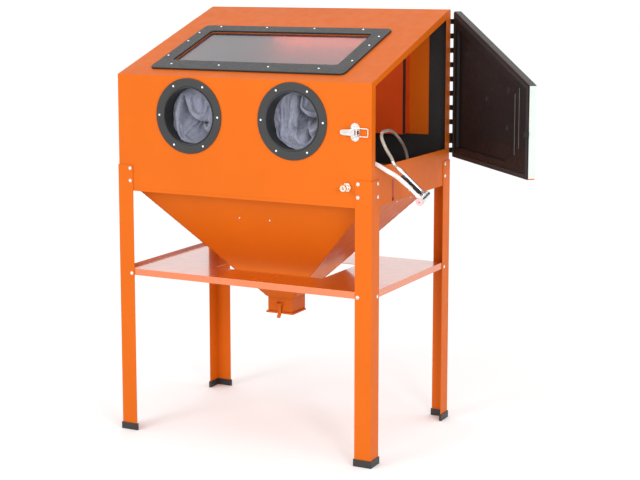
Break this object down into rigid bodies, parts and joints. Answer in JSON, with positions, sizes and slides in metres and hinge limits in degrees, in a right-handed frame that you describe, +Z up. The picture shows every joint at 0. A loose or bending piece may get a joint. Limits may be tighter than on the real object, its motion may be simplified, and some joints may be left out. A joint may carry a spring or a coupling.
{
  "type": "sandblast cabinet",
  "caption": "Free-standing sandblast cabinet on four legs: side door, sloping window, two arm ports with gloves, hopper with trap door, shelf and siphon blast gun.",
  "frame": {"origin": "middle of the outline's footprint on the floor, with the door standing open", "axes": "+Z up, -Y towards the operator's side with the arm ports, +X towards the side with the door"},
  "size_m": [1.4252, 0.7208, 1.457],
  "materials": {
    "orange_powder_coat": "satin powder coat",
    "black_coat": "semi-gloss black coat",
    "black_plastic": "moulded, slightly glossy",
    "black_rubber": "matt",
    "pale_trim": "pale soft trim",
    "zinc_plated_steel": "bright zinc plate",
    "bare_steel": "bare, worn by grit",
    "aluminium": "cast and turned",
    "brass": "turned, nickel tint",
    "tinted_glass": "clear pane",
    "lamp_lens": "opal",
    "glove_fabric": "coated woven cotton",
    "pink_ceramic": "fired ceramic, satin",
    "grey_hose": "smooth grey-beige jacket",
    "clear_vinyl": "clear soft vinyl"
  },
  "bodies": {
    "root": {"front_top_panel": "orange_powder_coat", "rear_panel": "orange_powder_coat", "left_side_panel": "orange_powder_coat", "right_side_panel": "orange_powder_coat", "hopper": "orange_powder_coat", "shelf": "orange_powder_coat", "leg_front_left": "orange_powder_coat", "leg_front_right": "orange_powder_coat", "leg_rear_left": "orange_powder_coat", "leg_rear_right": "orange_powder_coat", "exhaust_baffle": "orange_powder_coat", "outlet_box": "orange_powder_coat", "hinge_frame_leaf": "black_coat", "foot_front_left": "black_plastic", "foot_front_right": "black_plastic", "foot_rear_left": "black_plastic", "foot_rear_right": "black_plastic", "window_frame": "black_plastic", "arm_ring_left": "black_plastic", "arm_ring_right": "black_plastic", "arm_collar_left": "black_plastic", "arm_collar_right": "black_plastic", "exhaust_spigot": "black_plastic", "window_gasket": "black_rubber", "rear_liner": "black_rubber", "trap_door_pin": "zinc_plated_steel", "catch_pin": "zinc_plated_steel", "window_clamp_ring": "zinc_plated_steel", "latch_base": "zinc_plated_steel", "latch_lever_pin": "zinc_plated_steel", "hinge_pin": "zinc_plated_steel", "nozzle_nut": "zinc_plated_steel", "trigger_pin": "zinc_plated_steel", "air_inlet_locknut": "zinc_plated_steel", "work_grate": "bare_steel", "grate_bar_front": "bare_steel", "grate_bar_rear": "bare_steel", "lamp_housing": "aluminium", "gun_body": "aluminium", "gun_handle": "aluminium", "air_inlet_nipple": "brass", "gun_air_fitting": "brass", "window_glass": "tinted_glass", "lamp_lens": "lamp_lens", "glove_left": "glove_fabric", "glove_right": "glove_fabric", "nozzle": "pink_ceramic", "air_hose": "grey_hose", "suction_hose": "clear_vinyl"},
    "door": {"door_shell": "orange_powder_coat", "door_liner": "black_coat", "door_seal": "black_rubber", "door_edge_trim": "pale_trim", "latch_keeper": "black_coat", "hinge_door_leaf": "black_coat"},
    "latch_lever": {"latch_lever": "zinc_plated_steel"},
    "latch_bail": {"latch_bail": "zinc_plated_steel"},
    "trap_door": {"trap_door": "orange_powder_coat"},
    "trap_catch": {"trap_catch": "orange_powder_coat"},
    "trigger": {"trigger_lever": "black_plastic"}
  },
  "joints": [
    {"name": "door_hinge", "type": "hinge", "parent": "root", "child": "door", "pos_m": [0.23991, 0.32235, 1.19], "axis": [0, 0, 1], "range_deg": [-22, 134]},
    {"name": "latch_lever_swing", "type": "hinge", "parent": "root", "child": "latch_lever", "pos_m": [0.20041, -0.33635, 1.087], "axis": [0, 0, 1], "range_deg": [0, 150]},
    {"name": "latch_bail_swing", "type": "hinge", "parent": "latch_lever", "child": "latch_bail", "pos_m": [0.18241, -0.33005, 1.087], "axis": [0, 0, 1], "range_deg": [-150, 0]},
    {"name": "trap_door_hinge", "type": "hinge", "parent": "root", "child": "trap_door", "pos_m": [-0.22959, 0.05365, 0.4085], "axis": [1, 0, 0], "range_deg": [0, 95]},
    {"name": "trap_catch_swing", "type": "hinge", "parent": "root", "child": "trap_catch", "pos_m": [-0.22959, -0.05735, 0.44], "axis": [-1, 0, 0], "range_deg": [0, 100]},
    {"name": "trigger_squeeze", "type": "hinge", "parent": "root", "child": "trigger", "pos_m": [0.38218, -0.24789, 0.89565], "axis": [-0.7087, 0.2959, -0.6405], "range_deg": [0, 6], "stiffness_Nm_per_rad": 3}
  ],
  "couplings": [
    {"joint": "latch_bail_swing", "follows": "latch_lever_swing", "ratio": -1}
  ]
}
